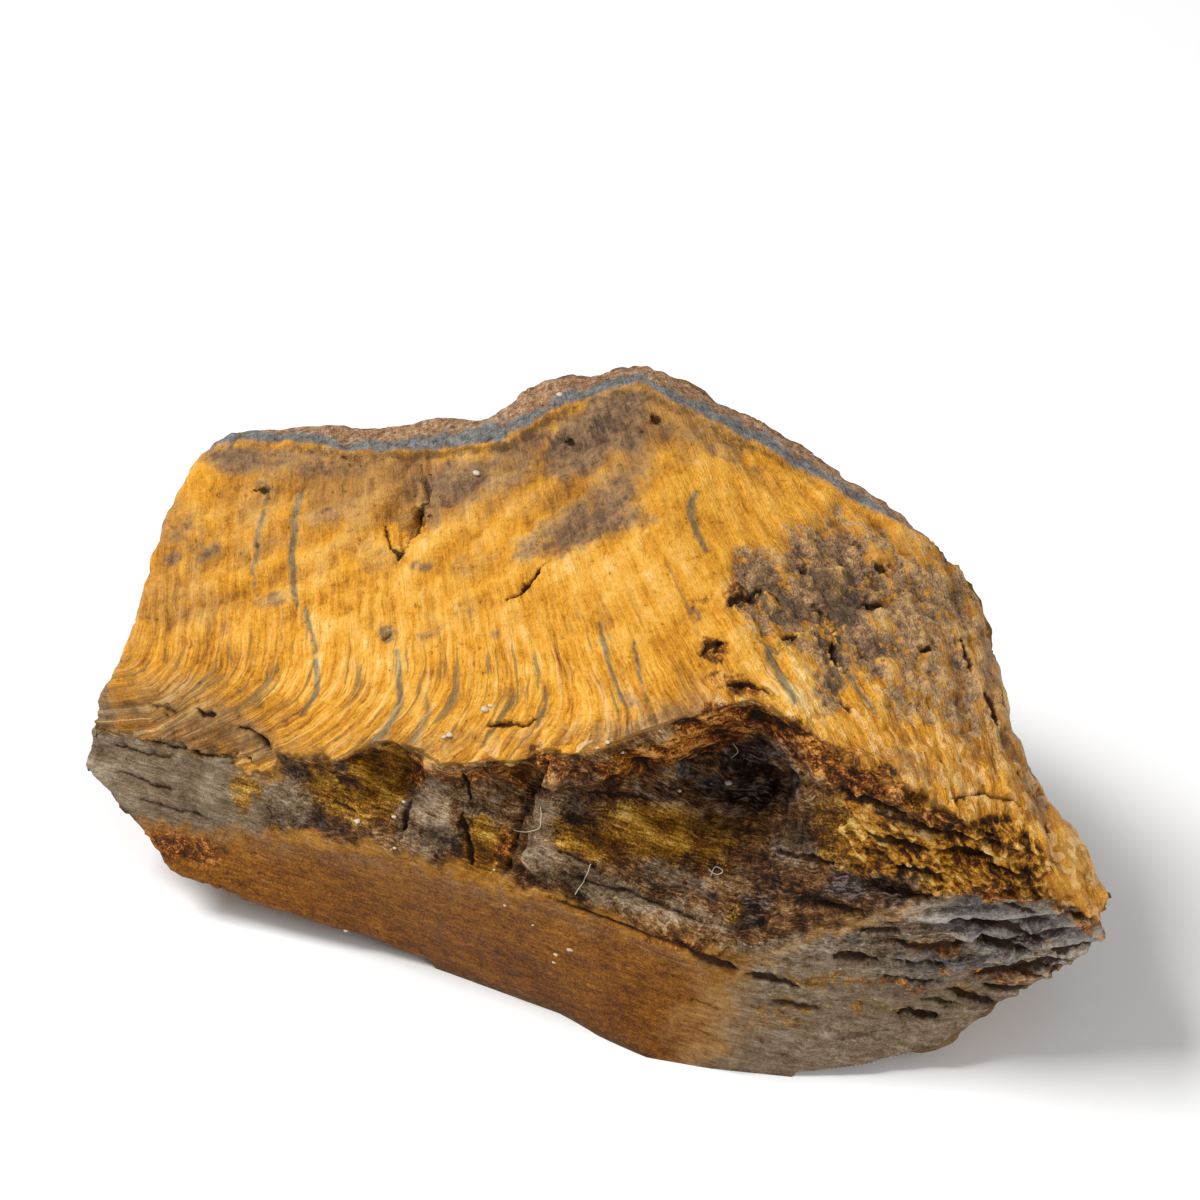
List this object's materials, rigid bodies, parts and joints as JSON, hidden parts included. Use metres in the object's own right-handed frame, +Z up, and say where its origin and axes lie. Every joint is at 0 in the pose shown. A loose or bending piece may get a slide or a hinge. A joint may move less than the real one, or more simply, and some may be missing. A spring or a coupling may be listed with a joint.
{
  "type": "rough stone",
  "caption": "Rough lump of tiger's eye: leaning golden fibrous top face, thin blue-grey seam rind along the back, broken hollow front, flat patch below",
  "frame": {"origin": "under the middle of the stone's bounding box, on the surface it rests on", "axes": "+X along the stone's length with the pointed end at +X, +Y towards the back, away from the broken front, +Z up"},
  "size_m": [0.054, 0.0294, 0.0251],
  "materials": {
    "tigers_eye": "silky on the fibrous top, duller on the broken front"
  },
  "bodies": {
    "root": {"tigers_eye_stone": "tigers_eye"}
  },
  "joints": []
}
